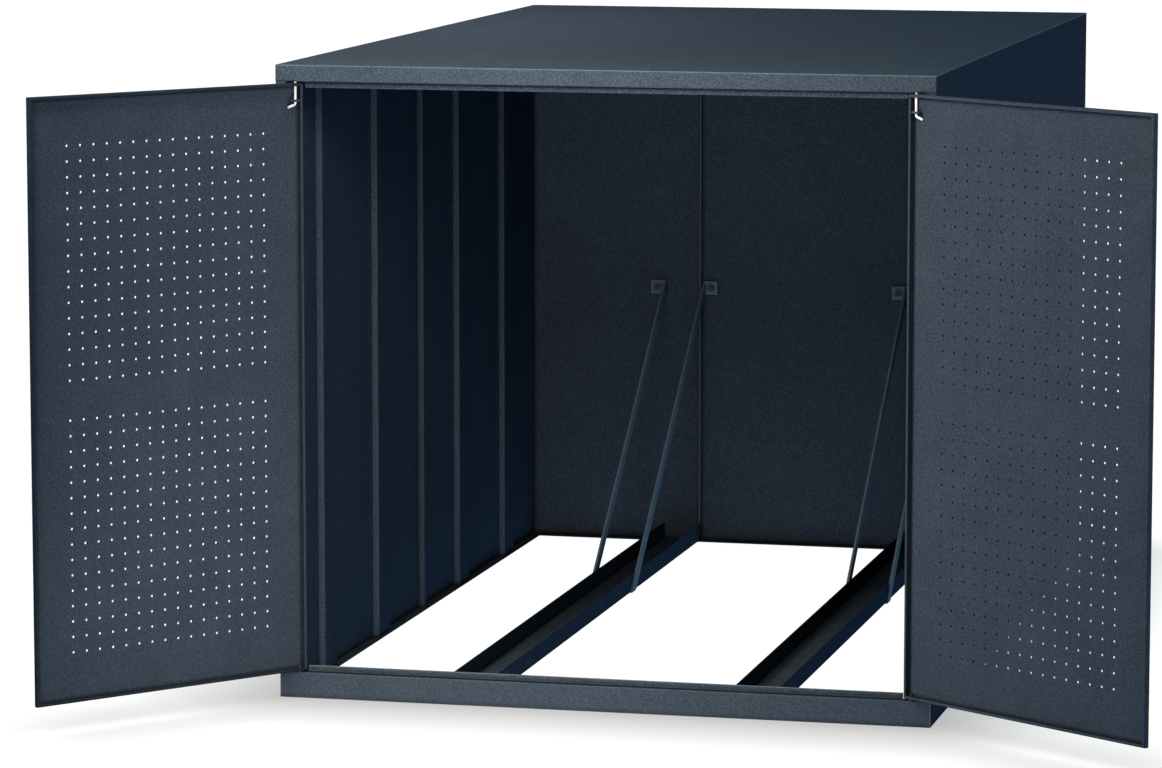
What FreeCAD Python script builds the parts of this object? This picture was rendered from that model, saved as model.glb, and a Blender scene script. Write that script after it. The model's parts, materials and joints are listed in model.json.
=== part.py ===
import FreeCAD, Part
import math
import os
import re

import Sketcher

# Bicycle locker for two bicycles, folded from sheet steel.
# Origin on the ground at the middle of the footprint, X to the right, Y to the rear, Z up.

doc = FreeCAD.newDocument("BicycleLocker")
sheet = doc.addObject("Spreadsheet::Sheet", "Sizes")

SIZES = [
    # Cabinet
    ("overall_width", 1310, "outside of one side wall to the outside of the other"),
    ("overall_depth", 2060, "front face to rear face"),
    ("overall_height", 1260, "ground to the top of the roof"),
    ("wall_sheet", 2, "sheet of the cabinet"),
    ("bend", 2.5, "outer radius of a fold"),
    ("side_flange", 24.4, "outside of a side wall to the edge of its top and bottom flanges"),
    ("end_flange", 45, "reach of the flanges at the front and at the rear"),
    ("fold_gap", 0.5, "gap between two flanges that meet in a corner"),
    # Front frame
    ("fascia_height", 33, "front face above the doors, roof edge included"),
    ("threshold_height", 52, "front face below the doors"),
    ("ledge_depth", 14.5, "front face to the stop lips"),
    ("upper_lip", 12.4, "how far the stop lip hangs below the fascia"),
    ("lower_lip", 11.8, "how far the stop lip stands above the threshold"),
    ("lip_start", 56, "outside of the cabinet to the end of the stop lips"),
    ("post_face", 22, "width of the front post folded from each side wall"),
    ("post_depth", 24, "depth of that post"),
    # Wall ribs and joint posts
    ("rib_sheet", 1.5, "sheet of the ribs"),
    ("rib_width", 90, "rib across its raised part, at the skin"),
    ("rib_slope", 5, "how far each flank leans in"),
    ("rib_height", 14, "rib above the skin's inner face"),
    ("rib_foot", 12, "flat foot on each side of a rib"),
    ("rib_inner", 328.5, "middle of the locker to the inner ribs"),
    ("rib_end", 301.5, "front or rear face to the outer ribs"),
    ("joint_width", 21, "joint post over the seam of the side wall panels"),
    ("rear_seam", 247, "middle of the locker to the seams of the rear wall"),
    ("seam_flange", 16, "flanges where two rear panels meet"),
    # Wheel rails and guide bars
    ("rail_offset", 288, "middle of the locker to the middle of a rail"),
    ("rail_width", 90, "rail outside"),
    ("rail_height", 38, "rail outside"),
    ("rail_sheet", 2, "sheet of the rails"),
    ("rail_end_gap", 1, "rail's end to the stop lip's or the seam flange's line"),
    ("guide_foot", 288, "middle of the locker back to the foot of a guide bar"),
    ("guide_rise", 598, "foot of a guide bar to its top on the rear wall"),
    ("guide_width", 25, "flat bar"),
    ("guide_thickness", 5, "flat bar"),
    ("guide_tab", 30, "tab that is bent outwards against the rear wall"),
    # Bolts
    ("bolt_shank", 7.8, "diameter of the bolts' shanks"),
    ("bolt_play", 0.2, "play round a shank, on the radius"),
    ("bolt_head", 14, "head across its corners"),
    ("bolt_head_height", 5, "head"),
    ("rail_bolt_inset", 31, "front or rear face to the bolt in a rail's end"),
    ("anchor_hole", 9, "holes for the floor anchors"),
    ("anchor_inset", 13, "outside of the side wall to the floor anchors"),
    ("anchor_end", 150, "front or rear face to the floor anchors"),
    # Doors
    ("door_sheet", 1.5, "sheet of the door leaves"),
    ("door_depth", 13.5, "depth of the folded leaf"),
    ("door_lip", 6, "width of the lip folded back round the leaf"),
    ("door_gap", 2.5, "gap above and below a leaf"),
    ("hinge_gap", 4, "gap between a leaf and its post"),
    ("meeting_gap", 7, "gap between the two closed leaves"),
    ("pivot_inset", 13, "hinge edge of a leaf to its pivots"),
    ("pivot_setback", 5, "outer face of a leaf to its pivots"),
    ("left_open_angle", 128.6, "degrees that the left door stands open"),
    ("right_open_angle", 145, "degrees that the right door stands open"),
    # Hinge pins, pivots and lugs
    ("pin_diameter", 5, "hinge pin at the top of each door"),
    ("pin_tip", 9, "how far the pin reaches above the fascia's ledge"),
    ("pin_drop", 45, "ledge down to the corner of the pin's bend"),
    ("pin_bend", 6, "radius of that bend, on the pin's middle line"),
    ("pin_turn", 72, "degrees that the pin's foot is bent out of the upright"),
    ("pin_foot", 18, "corner of the bend to the end of the foot"),
    ("running_gap", 0.05, "play of a pin in its hole, on the radius"),
    ("lug_drop", 33, "top of the leaf to the top of the lug"),
    ("lug_thickness", 4, "lug plate"),
    ("lug_reach", 12, "pivots to the lug's free end"),
    ("stub_diameter", 6, "pivot under each door"),
    ("stub_height", 12, "pivot above the threshold"),
    ("washer_diameter", 9.6, "washer under each door"),
    ("washer_play", 0.1, "play between the washer and the leaf"),
    # Padlock hasp
    ("hasp_height", 585, "bottom of a leaf to the middle of the hasp"),
    ("hasp_width", 28, "hasp from top to bottom"),
    ("hasp_sheet", 2, "plates of the hasp and the staple"),
    ("hasp_inset", 14, "free edge of the right leaf to the hasp's pin"),
    ("hasp_axis", 3.5, "outer face of the leaf to the hasp's pin"),
    ("hasp_plate_length", 46, "hasp plate along the leaf"),
    ("hasp_lift", 0.3, "gap between the strap and the plate below it"),
    ("knuckle_radius", 3, "knuckles round the hasp's pin"),
    ("knuckle_length", 12, "middle knuckle, which the strap carries"),
    ("knuckle_gap", 0.5, "gap round the knuckles"),
    ("hasp_pin_diameter", 2.9, "pin of the hasp"),
    ("staple_inset", 25, "free edge of the left leaf to the middle of the staple"),
    ("staple_width", 14, "eye of the staple"),
    ("staple_thickness", 5, "eye of the staple"),
    ("staple_rise", 11, "outer face of the leaf to the middle of the eye's hole"),
    ("staple_hole", 9, "hole for a shackle"),
    ("staple_plate", 26, "plate below the eye, along the leaf"),
    ("slot_play", 5, "strap's slot past each end of the staple's eye"),
    ("slot_side_play", 1, "strap's slot past each side of the staple's eye"),
]
for row, (name, number, meaning) in enumerate(SIZES, start=1):
    sheet.set("A%d" % row, meaning)
    sheet.set("B%d" % row, str(number))
    sheet.setAlias("B%d" % row, name)
doc.recompute()

NAMES = {name for name, number, meaning in SIZES}
STEPS = {"right": (1, 0), "left": (-1, 0), "up": (0, 1), "down": (0, -1)}
FRONT = "-overall_depth / 2"
REAR = "overall_depth / 2"
DOOR_HEIGHT = "(overall_height - fascia_height - threshold_height - 2 * door_gap)"
DOOR_WIDTH = "(overall_width / 2 - post_face - hinge_gap - meeting_gap / 2)"
DOOR_EDGE = "(%s - pivot_inset)" % DOOR_WIDTH
PANEL_HEIGHT = "(overall_height - wall_sheet)"
LEDGE_HEIGHT = "(overall_height - fascia_height)"
GUIDE_RUN = "(overall_depth / 2 - wall_sheet - guide_foot)"
GUIDE_LENGTH = "sqrt(guide_rise ^ 2 + %s ^ 2)" % GUIDE_RUN
BOLT_HOLE = "bolt_shank / 2 + bolt_play"
RAIL_BOLT_PLACES = (FRONT + " + rail_bolt_inset", REAR + " - rail_bolt_inset")


# Helpers

def bound(text):
    """A formula in the sizes' names, with each name turned into its cell."""
    return re.sub(r"[a-z_]+", lambda word: "Sizes." + word[0] if word[0] in NAMES else word[0], text)


def value(text):
    """The number that a formula gives now."""
    result = sheet.evalExpression(bound(text))
    return float(getattr(result, "Value", result))


def mirrored(points):
    """An outline for the other side of the locker."""
    return [("-(%s)" % x, y) for x, y in points]


def handed(points, side):
    """An outline drawn for the left side, as that side needs it."""
    return points if side == "left" else mirrored(points)


def outward(side):
    """Sign of the direction from the middle of the locker to a side."""
    return "-1" if side == "left" else "1"


def rectangle(x_low, x_high, y_low, y_high):
    return [(x_low, y_low), (x_high, y_low), (x_high, y_high), (x_low, y_high)]


def folded(start, moves, inside, thickness):
    """Outline of a folded sheet: its outer run through the moves, and back inside it.

    inside is the hand, left or right of the run, on which the sheet's thickness lies.
    """
    turn = 1 if inside == "left" else -1
    corners = [start]
    for way, distance in moves:
        across, up = STEPS[way]
        x, y = corners[-1]
        corners.append(("%s + %d * (%s)" % (x, across, distance), "%s + %d * (%s)" % (y, up, distance)))
    normals = [(-turn * STEPS[way][1], turn * STEPS[way][0]) for way, distance in moves]
    inner = []
    for index, (x, y) in enumerate(corners):
        beside = {normals[max(index - 1, 0)], normals[min(index, len(normals) - 1)]}
        across = sum(normal[0] for normal in beside)
        up = sum(normal[1] for normal in beside)
        inner.append(("%s + %d * %s" % (x, across, thickness), "%s + %d * %s" % (y, up, thickness)))
    return corners + inner[::-1]


def set_place(item, place):
    for axis, text in zip("xyz", place):
        item.setExpression("Placement.Base." + axis, bound(text))


def new_body(label, place=("0", "0", "0")):
    body = doc.addObject("PartDesign::Body", label)
    body.Label = label
    set_place(body, place)
    return body


def keep_point(sketch, geometry, end, x, y):
    """Holds one end of a sketch's line at its place from the sheet."""
    for kind, text in (("DistanceX", x), ("DistanceY", y)):
        rule = Sketcher.Constraint(kind, -1, 1, geometry, end, value(text))
        sketch.setExpression("Constraints[%d]" % sketch.addConstraint(rule), bound(text))


def add_loop(sketch, points):
    """A closed outline with straight sides."""
    places = [FreeCAD.Vector(value(x), value(y), 0) for x, y in points]
    first = sketch.GeometryCount
    for index, place in enumerate(places):
        sketch.addGeometry(Part.LineSegment(place, places[(index + 1) % len(places)]))
    for index, (x, y) in enumerate(points):
        before = first + (index - 1) % len(points)
        sketch.addConstraint(Sketcher.Constraint("Coincident", before, 2, first + index, 1))
        keep_point(sketch, first + index, 1, x, y)


def add_circle(sketch, x, y, radius):
    centre = FreeCAD.Vector(value(x), value(y), 0)
    ring = sketch.addGeometry(Part.Circle(centre, FreeCAD.Vector(0, 0, 1), value(radius)))
    keep_point(sketch, ring, 3, x, y)
    rule = sketch.addConstraint(Sketcher.Constraint("Radius", ring, value(radius)))
    sketch.setExpression("Constraints[%d]" % rule, bound(radius))


def add_sketch(body, plane, loops=(), circles=(), offset="0"):
    """A sketch on one of the body's origin planes, moved along that plane's normal."""
    sketch = body.newObject("Sketcher::SketchObject", body.Label + "_sketch")
    origin = next(item for item in body.Origin.OriginFeatures if item.Role == plane)
    sketch.AttachmentSupport = [(origin, "")]
    sketch.MapMode = "FlatFace"
    sketch.setExpression("AttachmentOffset.Base.z", bound(offset))
    for points in loops:
        add_loop(sketch, points)
    for x, y, radius in circles:
        add_circle(sketch, x, y, radius)
    return sketch


def pad(body, sketch, length, backwards=False, centred=False):
    feature = body.newObject("PartDesign::Pad", body.Label + "_pad")
    feature.Profile = sketch
    feature.setExpression("Length", bound(length))
    feature.Reversed = backwards
    feature.Midplane = centred
    sketch.Visibility = False
    return feature


def pocket(body, sketch, length=None, backwards=False):
    """Cuts against the sketch's normal, to a depth or right through."""
    doc.recompute()
    before = body.Shape.Volume
    feature = body.newObject("PartDesign::Pocket", body.Label + "_pocket")
    feature.Profile = sketch
    if length is None:
        feature.Type = "ThroughAll"
    else:
        feature.setExpression("Length", bound(length))
    feature.Reversed = backwards
    sketch.Visibility = False
    doc.recompute()
    if not body.Shape.Volume < before:
        raise ValueError("a pocket of %s cuts nothing" % body.Label)
    return feature


def round_edges(body, radius, chosen):
    """Rounds the edges of the body, so far, whose middle and ends pass the test."""
    doc.recompute()
    base = body.Tip
    names = []
    for number, edge in enumerate(base.Shape.Edges, start=1):
        ends = [vertex.Point for vertex in edge.Vertexes]
        if len(ends) == 2 and chosen(ends[0], ends[1]):
            names.append("Edge%d" % number)
    feature = body.newObject("PartDesign::Fillet", body.Label + "_fillet")
    feature.Base = (base, names)
    feature.setExpression("Radius", bound(radius))
    return feature


def near(first, second):
    return abs(first - second) < 0.001


def bolt(label, place, axis, length):
    """A bolt with its head's underside at its place, and its shank along the axis."""
    head = doc.addObject("Part::Prism", label + "_head")
    head.Polygon = 6
    head.setExpression("Circumradius", bound("bolt_head / 2"))
    head.setExpression("Height", bound("bolt_head_height"))
    shank = doc.addObject("Part::Cylinder", label + "_shank")
    shank.setExpression("Radius", bound("bolt_shank / 2"))
    shank.setExpression("Height", bound(length))
    shank.setExpression("Placement.Base.z", bound("-(%s)" % length))
    whole = doc.addObject("Part::Fuse", label)
    whole.Base = head
    whole.Tool = shank
    whole.Placement.Rotation = FreeCAD.Rotation(FreeCAD.Vector(0, 0, -1), FreeCAD.Vector(*axis))
    set_place(whole, place)
    return whole


def group(label, items):
    """Identical fasteners, each a solid of its own, under one name."""
    compound = doc.addObject("Part::Compound", label)
    compound.Label = label
    compound.Links = items


# Side walls

def wall_profile(side):
    moves = [("left", "side_flange"), ("up", PANEL_HEIGHT), ("right", "side_flange")]
    return handed(folded(("side_flange", "0"), moves, "right", "wall_sheet"), side)


def cut_wall_flanges(body, side, y_low, y_high):
    """Takes the flanges away where those of the front or the rear lie."""
    notch = handed(rectangle("wall_sheet", "side_flange", y_low, y_high), side)
    pocket(body, add_sketch(body, "XY_Plane", [notch], offset=PANEL_HEIGHT))


def cut_anchor_hole(body, side, y):
    x = "-(%s) * anchor_inset" % outward(side)
    pocket(body, add_sketch(body, "XY_Plane", circles=[(x, y, "anchor_hole / 2")], offset="wall_sheet"))


def make_front_wall_panel(side):
    """The front half of a side wall, with the front post folded on its edge."""
    body = new_body(side + "_wall_front_panel", ("%s * overall_width / 2" % outward(side), "0", "0"))
    pad(body, add_sketch(body, "XZ_Plane", [wall_profile(side)]), "overall_depth / 2 - wall_sheet")
    notch_end = FRONT + " + end_flange + fold_gap"
    cut_wall_flanges(body, side, FRONT + " + wall_sheet", notch_end)
    cut_anchor_hole(body, side, FRONT + " + anchor_end")
    post = folded(("0", FRONT), [("right", "post_face"), ("up", "post_depth")], "left", "wall_sheet")
    base = add_sketch(body, "XY_Plane", [handed(post, side)], offset="threshold_height")
    pad(body, base, LEDGE_HEIGHT + " - threshold_height")
    face = value(FRONT)
    low = value("threshold_height")
    high = value(LEDGE_HEIGHT)
    round_edges(body, "bend", lambda a, b: near(a.y, face) and near(b.y, face) and {
        round(a.z, 3), round(b.z, 3)} == {round(low, 3), round(high, 3)} and near(a.x, b.x))


def make_rear_wall_panel(side):
    """The rear half of a side wall."""
    body = new_body(side + "_wall_rear_panel", ("%s * overall_width / 2" % outward(side), "0", "0"))
    base = add_sketch(body, "XZ_Plane", [wall_profile(side)], offset=FRONT)
    pad(body, base, "overall_depth / 2")
    cut_wall_flanges(body, side, REAR + " - end_flange - fold_gap", REAR)
    cut_anchor_hole(body, side, REAR + " - anchor_end")


def rib_outline():
    """A rib's section, upwards from the skin that it stiffens."""
    half = "rib_width / 2"
    top = half + " - rib_slope"
    outer = [(half + " + rib_foot", "0"), (half + " + rib_foot", "rib_sheet"), (half, "rib_sheet"),
             (top, "rib_height")]
    inner = [(top + " - rib_sheet", "rib_height - rib_sheet"), (half + " - rib_sheet", "0")]
    return outer + mirrored(outer)[::-1] + mirrored(inner)[::-1] + inner


def make_wall_rib(side, number, y):
    """An upright rib, which stands on the wall's bottom flange."""
    x = "%s * (overall_width / 2 - wall_sheet)" % outward(side)
    body = new_body("%s_wall_rib_%d" % (side, number), (x, y, "wall_sheet"))
    outline = handed([(height, along) for along, height in rib_outline()], side)
    pad(body, add_sketch(body, "XY_Plane", [outline]), PANEL_HEIGHT + " - 2 * wall_sheet")


def make_joint_post(side):
    """The channel over the seam between the two panels of a side wall."""
    x = "%s * (overall_width / 2 - wall_sheet)" % outward(side)
    body = new_body(side + "_wall_joint_post", (x, "0", "wall_sheet"))
    moves = [("right", "rib_height"), ("up", "joint_width"), ("left", "rib_height")]
    outline = folded(("0", "-joint_width / 2"), moves, "left", "wall_sheet")
    base = add_sketch(body, "XY_Plane", [handed(outline, side)])
    pad(body, base, PANEL_HEIGHT + " - 2 * wall_sheet")


# Rear wall

def rear_profile():
    moves = [("right", "end_flange"), ("up", PANEL_HEIGHT), ("left", "end_flange")]
    return folded(("-end_flange", "0"), moves, "left", "wall_sheet")


def add_seam_flange(body, x_low, x_high):
    """The upright flange along a seam, between the panel's top and bottom flanges."""
    flange = rectangle(x_low, x_high, "-seam_flange - wall_sheet", "-wall_sheet")
    base = add_sketch(body, "XY_Plane", [flange], offset="wall_sheet")
    pad(body, base, PANEL_HEIGHT + " - 2 * wall_sheet")


def make_side_rear_panel(side):
    """The rear wall's panel behind a rail, with the holes for its bolt and a guide bar's."""
    body = new_body("rear_wall_%s_panel" % side, ("0", REAR, "0"))
    edge = "%s * (overall_width / 2 - wall_sheet)" % outward(side)
    seam = "%s * rear_seam" % outward(side)
    low, high = (edge, seam) if side == "left" else (seam, edge)
    base = add_sketch(body, "YZ_Plane", [rear_profile()], offset=low)
    pad(body, base, "%s - (%s)" % (high, low))
    inner = "%s * (rear_seam + wall_sheet)" % outward(side)
    add_seam_flange(body, *((inner, seam) if side == "left" else (seam, inner)))
    hole = ("%s * rail_offset" % outward(side), "-rail_bolt_inset", BOLT_HOLE)
    pocket(body, add_sketch(body, "XY_Plane", circles=[hole], offset="wall_sheet"))
    cut_tab_holes(body, [tab_x(side, side)])


def tab_x(rail_side, side):
    """The middle of the tab of a guide bar."""
    return "%s * rail_offset + %s * (rail_width / 2 + guide_thickness + guide_tab / 2)" % (
        outward(rail_side), outward(side))


def cut_tab_holes(body, places):
    holes = [(x, "rail_sheet + guide_rise", BOLT_HOLE) for x in places]
    pocket(body, add_sketch(body, "XZ_Plane", circles=holes, offset="wall_sheet"))


def make_middle_rear_panel():
    body = new_body("rear_wall_middle_panel", ("0", REAR, "0"))
    base = add_sketch(body, "YZ_Plane", [rear_profile()])
    pad(body, base, "2 * rear_seam", centred=True)
    add_seam_flange(body, "-rear_seam", "-rear_seam + wall_sheet")
    add_seam_flange(body, "rear_seam - wall_sheet", "rear_seam")
    cut_tab_holes(body, [tab_x("left", "right"), tab_x("right", "left")])


# Roof

def make_roof_panel():
    body = new_body("roof_panel", ("0", "0", PANEL_HEIGHT))
    outline = rectangle("-overall_width / 2", "overall_width / 2", FRONT, REAR)
    pad(body, add_sketch(body, "XY_Plane", [outline]), "wall_sheet")
    top = value("wall_sheet")
    round_edges(body, "wall_sheet / 2", lambda a, b: near(a.z, top) and near(b.z, top))


def make_roof_rib(number, y):
    """A rib under the roof, between the side walls' flanges."""
    body = new_body("roof_rib_%d" % number, ("0", y, PANEL_HEIGHT))
    outline = [(along, "-(%s)" % height) for along, height in rib_outline()]
    base = add_sketch(body, "YZ_Plane", [outline])
    pad(body, base, "overall_width - 2 * (side_flange + fold_gap)", centred=True)


# Front frame

def cut_frame_ends(body, z_root, z_free, z_far):
    """Clears the side walls behind the face, and the doors' turning corners beside the lips."""
    left = [("-overall_width / 2", z_free), ("-overall_width / 2 + lip_start", z_free),
            ("-overall_width / 2 + lip_start", z_root), ("-overall_width / 2 + wall_sheet", z_root),
            ("-overall_width / 2 + wall_sheet", z_far), ("-overall_width / 2", z_far)]
    loops = [left, mirrored(left)]
    pocket(body, add_sketch(body, "XZ_Plane", loops, offset="-wall_sheet"))


def pivot_x(side):
    return "%s * (overall_width / 2 - post_face - hinge_gap - pivot_inset)" % outward(side)


def make_front_header():
    """Fascia, ledge and stop lip above the doors, folded from one sheet."""
    body = new_body("front_header", ("0", FRONT, "0"))
    moves = [("left", "end_flange"), ("down", "fascia_height - wall_sheet"),
             ("right", "ledge_depth"), ("down", "upper_lip")]
    outline = folded(("end_flange", PANEL_HEIGHT), moves, "left", "wall_sheet")
    pad(body, add_sketch(body, "YZ_Plane", [outline]), "overall_width", centred=True)
    cut_frame_ends(body, LEDGE_HEIGHT, LEDGE_HEIGHT + " - upper_lip", PANEL_HEIGHT)
    holes = [(pivot_x(side), "pivot_setback", "pin_diameter / 2 + running_gap") for side in SIDES]
    base = add_sketch(body, "XY_Plane", circles=holes, offset=LEDGE_HEIGHT + " + wall_sheet")
    pocket(body, base, "wall_sheet")
    low = value(LEDGE_HEIGHT)
    round_edges(body, "bend", lambda a, b: near(a.y, 0) and near(b.y, 0) and near(a.z, low)
                and near(b.z, low))


def make_threshold():
    """Front face, ledge and stop lip below the doors, folded from one sheet."""
    body = new_body("threshold", ("0", FRONT, "0"))
    moves = [("left", "end_flange"), ("up", "threshold_height"), ("right", "ledge_depth"),
             ("up", "lower_lip")]
    outline = folded(("end_flange", "0"), moves, "right", "wall_sheet")
    pad(body, add_sketch(body, "YZ_Plane", [outline]), "overall_width", centred=True)
    cut_frame_ends(body, "threshold_height", "threshold_height + lower_lip", "0")
    holes = [("%s * rail_offset" % outward(side), "rail_bolt_inset", BOLT_HOLE) for side in SIDES]
    pocket(body, add_sketch(body, "XY_Plane", circles=holes, offset="wall_sheet"))
    high = value("threshold_height")
    round_edges(body, "bend", lambda a, b: near(a.y, 0) and near(b.y, 0) and near(a.z, high)
                and near(b.z, high))


# Wheel rails and guide bars

def make_wheel_rail(side):
    """A channel for the wheels, which lies on the threshold's and the rear wall's flanges."""
    front = FRONT + " + ledge_depth + wall_sheet + rail_end_gap"
    rear = REAR + " - wall_sheet - seam_flange - rail_end_gap"
    body = new_body(side + "_wheel_rail", ("%s * rail_offset" % outward(side), "0", "wall_sheet"))
    moves = [("down", "rail_height"), ("right", "rail_width"), ("up", "rail_height")]
    outline = folded(("-rail_width / 2", "rail_height"), moves, "left", "rail_sheet")
    base = add_sketch(body, "XZ_Plane", [outline], offset="-(%s)" % rear)
    pad(body, base, "%s - (%s)" % (rear, front))
    holes = [("0", along, BOLT_HOLE) for along in RAIL_BOLT_PLACES]
    pocket(body, add_sketch(body, "XY_Plane", circles=holes, offset="rail_sheet"))


def make_guide_bar(rail_side, side):
    """A flat bar, welded to the side of a rail, that slants up to a tab on the rear wall."""
    body = new_body("%s_rail_%s_guide_bar" % (rail_side, side))
    inner = "%s * rail_offset + %s * rail_width / 2" % (outward(rail_side), outward(side))
    outer = "%s + %s * guide_thickness" % (inner, outward(side))
    low = outer if side == "left" else inner
    level = "guide_width / 2 * %s / guide_rise" % GUIDE_LENGTH
    upright = "guide_width / 2 * %s / %s" % (GUIDE_LENGTH, GUIDE_RUN)
    wall = REAR + " - wall_sheet"
    top = "rail_sheet + guide_rise"
    bar = [("guide_foot - " + level, "rail_sheet"), ("guide_foot + " + level, "rail_sheet"),
           (wall, top + " - " + upright), (wall, top + " + " + upright)]
    base = add_sketch(body, "YZ_Plane", [bar], offset=low)
    pad(body, base, "guide_thickness")
    tip = "%s + %s * guide_tab" % (outer, outward(side))
    x_low, x_high = (tip, inner) if side == "left" else (inner, tip)
    tab = rectangle(x_low, x_high, top + " - " + upright, top + " + " + upright)
    base = add_sketch(body, "XZ_Plane", [tab], offset="-(%s)" % wall)
    pad(body, base, "guide_thickness")
    hole = (tab_x(rail_side, side), top, BOLT_HOLE)
    base = add_sketch(body, "XZ_Plane", circles=[hole], offset="-(%s) + guide_thickness" % wall)
    pocket(body, base, "guide_thickness")


def make_rail_bolts():
    """A bolt down through each end of a rail, into the flange below it."""
    bolts = []
    for side in SIDES:
        for name, y in zip(("front", "rear"), RAIL_BOLT_PLACES):
            place = ("%s * rail_offset" % outward(side), y, "wall_sheet + rail_sheet")
            label = "rail_bolt_%s_%s" % (side, name)
            bolts.append(bolt(label, place, (0, 0, -1), "wall_sheet + rail_sheet"))
    group("rail_bolts", bolts)


def make_guide_bolts():
    """A bolt through the tab of each guide bar."""
    bolts = []
    for rail_side in SIDES:
        for side in SIDES:
            place = (tab_x(rail_side, side), REAR + " - wall_sheet - guide_thickness",
                     "rail_sheet + guide_rise")
            label = "tab_bolt_%s_rail_%s" % (rail_side, side)
            bolts.append(bolt(label, place, (0, 1, 0), "guide_thickness + wall_sheet"))
    group("guide_tab_bolts", bolts)


# Pivots under the doors

def make_pivot_stub(side):
    """A round stub on the threshold, on which a door turns."""
    body = new_body(side + "_pivot_stub", (pivot_x(side), FRONT + " + pivot_setback", "threshold_height"))
    base = add_sketch(body, "XY_Plane", circles=[("0", "0", "stub_diameter / 2")])
    pad(body, base, "stub_height")


def make_pivot_washer(side):
    place = (pivot_x(side), FRONT + " + pivot_setback", "threshold_height")
    body = new_body(side + "_pivot_washer", place)
    rings = [("0", "0", "washer_diameter / 2"), ("0", "0", "stub_diameter / 2 + running_gap")]
    pad(body, add_sketch(body, "XY_Plane", circles=rings), "door_gap - washer_play")


# Doors, drawn closed about their pivots, with the outer face towards -Y

def door_body(label, side, swung="0"):
    """A body that turns with a door: it is drawn closed, and stands open by the door's angle.

    swung turns it further about the pivots.
    """
    body = new_body(label, (pivot_x(side), FRONT + " + pivot_setback", "threshold_height + door_gap"))
    axis = FreeCAD.Vector(0, 0, int(outward(side)))
    angle = "%s_open_angle + %s" % (side, swung)
    body.Placement = FreeCAD.Placement(body.Placement.Base, FreeCAD.Rotation(axis, value(angle)))
    body.setExpression("Placement.Rotation.Angle", bound("(%s) * 1 deg" % angle))
    return body


def leaf_outline(inset, side):
    outline = rectangle("-pivot_inset + " + inset, DOOR_EDGE + " - " + inset, inset,
                        DOOR_HEIGHT + " - " + inset)
    return handed(outline, side)


def make_door_leaf(side):
    """One sheet folded into a shallow tray, with a lip turned back all round."""
    body = door_body(side + "_door_leaf", side)
    base = add_sketch(body, "XZ_Plane", [leaf_outline("0", side)], offset="pivot_setback")
    pad(body, base, "door_depth", backwards=True)
    skin = "pivot_setback - door_sheet"
    base = add_sketch(body, "XZ_Plane", [leaf_outline("door_sheet", side)], offset=skin)
    pocket(body, base, "door_depth - 2 * door_sheet")
    pocket(body, add_sketch(body, "XZ_Plane", [leaf_outline("door_lip", side)], offset=skin))
    front = value("-pivot_setback")
    back = value("door_depth - pivot_setback")
    limits = [value("-pivot_inset"), value(DOOR_EDGE)]
    high = value(DOOR_HEIGHT)

    def on_fold(a, b):
        level = near(a.y, b.y) and (near(a.y, front) or near(a.y, back))
        upright = near(a.x, b.x) and any(near(abs(a.x), abs(limit)) for limit in limits)
        flat = near(a.z, b.z) and (near(a.z, 0) or near(a.z, high))
        return level and (upright or flat)

    round_edges(body, "bend", on_fold)
    hole = ("0", "0", "pin_diameter / 2 + running_gap")
    pocket(body, add_sketch(body, "XY_Plane", circles=[hole], offset=DOOR_HEIGHT), "door_sheet")
    hole = ("0", "0", "stub_diameter / 2 + running_gap")
    pocket(body, add_sketch(body, "XY_Plane", circles=[hole], offset="door_sheet"), "door_sheet")


def make_hinge_lug(side):
    """A small plate across the corner of the leaf, which guides the hinge pin."""
    body = door_body(side + "_hinge_lug", side)
    outline = rectangle("-pivot_inset + door_sheet", "lug_reach", "-pivot_setback + door_sheet",
                        "door_depth - pivot_setback - door_sheet")
    hole = ("0", "0", "pin_diameter / 2 + running_gap")
    base = add_sketch(body, "XY_Plane", [handed(outline, side)], [hole], offset=DOOR_HEIGHT + " - lug_drop")
    pad(body, base, "lug_thickness", backwards=True)


def make_hinge_pin(side):
    """A round pin through the lug and the leaf into the fascia's ledge, with its foot bent out."""
    body = door_body(side + "_hinge_pin", side, "0" if side == "left" else "180")
    ledge = DOOR_HEIGHT + " + door_gap"
    tip = ledge + " + pin_tip"
    corner = ledge + " - pin_drop"
    tangent = "pin_bend * tan(pin_turn * 0.5 deg)"
    points = [("0", tip), ("0", corner + " + " + tangent),
              (tangent + " * sin(pin_turn * 1 deg)", corner + " - %s * cos(pin_turn * 1 deg)" % tangent),
              ("pin_foot * sin(pin_turn * 1 deg)", corner + " - pin_foot * cos(pin_turn * 1 deg)")]
    places = [FreeCAD.Vector(value(x), value(y), 0) for x, y in points]
    middle = places[1] + FreeCAD.Vector(value("pin_bend"), 0, 0)
    circle = Part.Circle(middle, FreeCAD.Vector(0, 0, 1), value("pin_bend"))
    path = add_sketch(body, "XZ_Plane")
    path.addGeometry(Part.LineSegment(places[0], places[1]))
    path.addGeometry(Part.ArcOfCircle(circle, math.pi, math.pi + math.radians(value("pin_turn"))))
    path.addGeometry(Part.LineSegment(places[2], places[3]))
    path.addConstraint(Sketcher.Constraint("Coincident", 0, 2, 1, 1))
    path.addConstraint(Sketcher.Constraint("Coincident", 1, 2, 2, 1))
    rule = path.addConstraint(Sketcher.Constraint("Radius", 1, value("pin_bend")))
    path.setExpression("Constraints[%d]" % rule, bound("pin_bend"))
    for geometry, end, place in ((0, 1, 0), (0, 2, 1), (2, 1, 2), (2, 2, 3)):
        keep_point(path, geometry, end, *points[place])
    feature = body.newObject("PartDesign::AdditivePipe", body.Label + "_pipe")
    feature.Profile = add_sketch(body, "XY_Plane", circles=[("0", "0", "pin_diameter / 2")], offset=tip)
    feature.Spine = (path, ["Edge1", "Edge2", "Edge3"])


# Padlock hasp on the outer faces of the doors

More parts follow.
